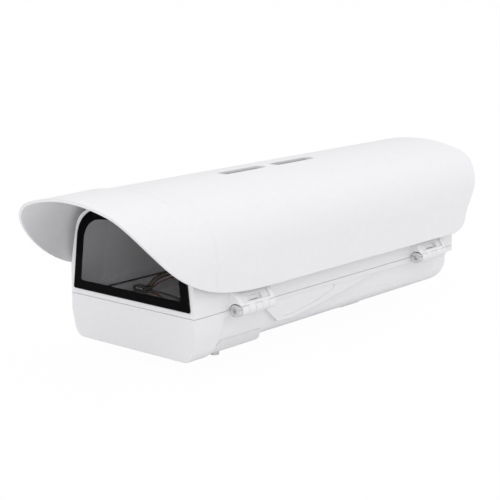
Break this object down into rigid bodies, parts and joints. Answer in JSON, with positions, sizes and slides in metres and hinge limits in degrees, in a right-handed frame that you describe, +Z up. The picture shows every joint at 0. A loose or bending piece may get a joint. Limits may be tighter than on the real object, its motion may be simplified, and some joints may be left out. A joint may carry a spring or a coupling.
{
  "type": "security camera housing",
  "caption": "Long outdoor camera housing with a glazed front, a side-opening cover on pinned hinges and a white sunshield with a curved visor.",
  "frame": {"origin": "centre of the four bracket holes, on the land under the base", "axes": "+Z up; the window looks along -Y; the hinges are on the +X side"},
  "size_m": [0.1835, 0.5447, 0.1639],
  "materials": {
    "casing": "white powder coat on a casting, fine satin grain",
    "shield": "white satin moulded plastic",
    "glass": "clear flat glass",
    "mask": "black printed border on the pane",
    "seal": "black rubber",
    "pin_steel": "turned stainless steel",
    "screw_steel": "stainless steel",
    "tray_metal": "plain rolled aluminium sheet",
    "gland_plastic": "light grey nylon",
    "board": "green circuit board",
    "terminal": "green terminal blocks",
    "plug_black": "black nylon",
    "contact": "bright plated contacts",
    "wire_black": "black wire insulation",
    "wire_yellow": "yellow-brown wire insulation",
    "wire_red": "red wire insulation"
  },
  "bodies": {
    "base": {"base_shell": "casing", "base_gasket": "seal", "gland_seal_right": "seal", "gland_seal_left": "seal", "gland_washer_right": "seal", "gland_washer_left": "seal", "hinge_pin_front": "pin_steel", "hinge_pin_rear": "pin_steel", "pad_screws": "pin_steel", "tray_screws": "screw_steel", "board_screws": "screw_steel", "camera_bolt": "screw_steel", "camera_tray": "tray_metal", "gland_body_right": "gland_plastic", "gland_body_left": "gland_plastic", "gland_cap_right": "gland_plastic", "gland_cap_left": "gland_plastic", "gland_locknut_right": "gland_plastic", "gland_locknut_left": "gland_plastic", "terminal_board": "board", "terminal_blocks": "terminal", "wire_plug": "plug_black", "wire_clips": "plug_black", "plug_contacts": "contact", "wire_black_upper": "wire_black", "wire_black_lower": "wire_black", "wire_yellow_upper": "wire_yellow", "wire_red_upper": "wire_red", "wire_red_lower": "wire_red"},
    "cover": {"cover_shell": "casing", "sunshield_hood": "shield", "sunshield_visor": "shield", "window_glass": "glass", "window_mask": "mask", "window_gasket": "seal", "sunshield_screws": "screw_steel", "sunshield_washers": "seal"},
    "latch_front": {"latch_screw_front": "screw_steel"},
    "latch_rear": {"latch_screw_rear": "screw_steel"}
  },
  "joints": [
    {"name": "cover_hinge", "type": "hinge", "parent": "base", "child": "cover", "pos_m": [0.0865, 0, 0.0416], "axis": [0, 1, 0], "range_deg": [0, 105]},
    {"name": "latch_front_slide", "type": "slide", "parent": "cover", "child": "latch_front", "axis": [0, 0, 1], "range_m": [0, 0.006]},
    {"name": "latch_rear_slide", "type": "slide", "parent": "cover", "child": "latch_rear", "axis": [0, 0, 1], "range_m": [0, 0.006]}
  ]
}
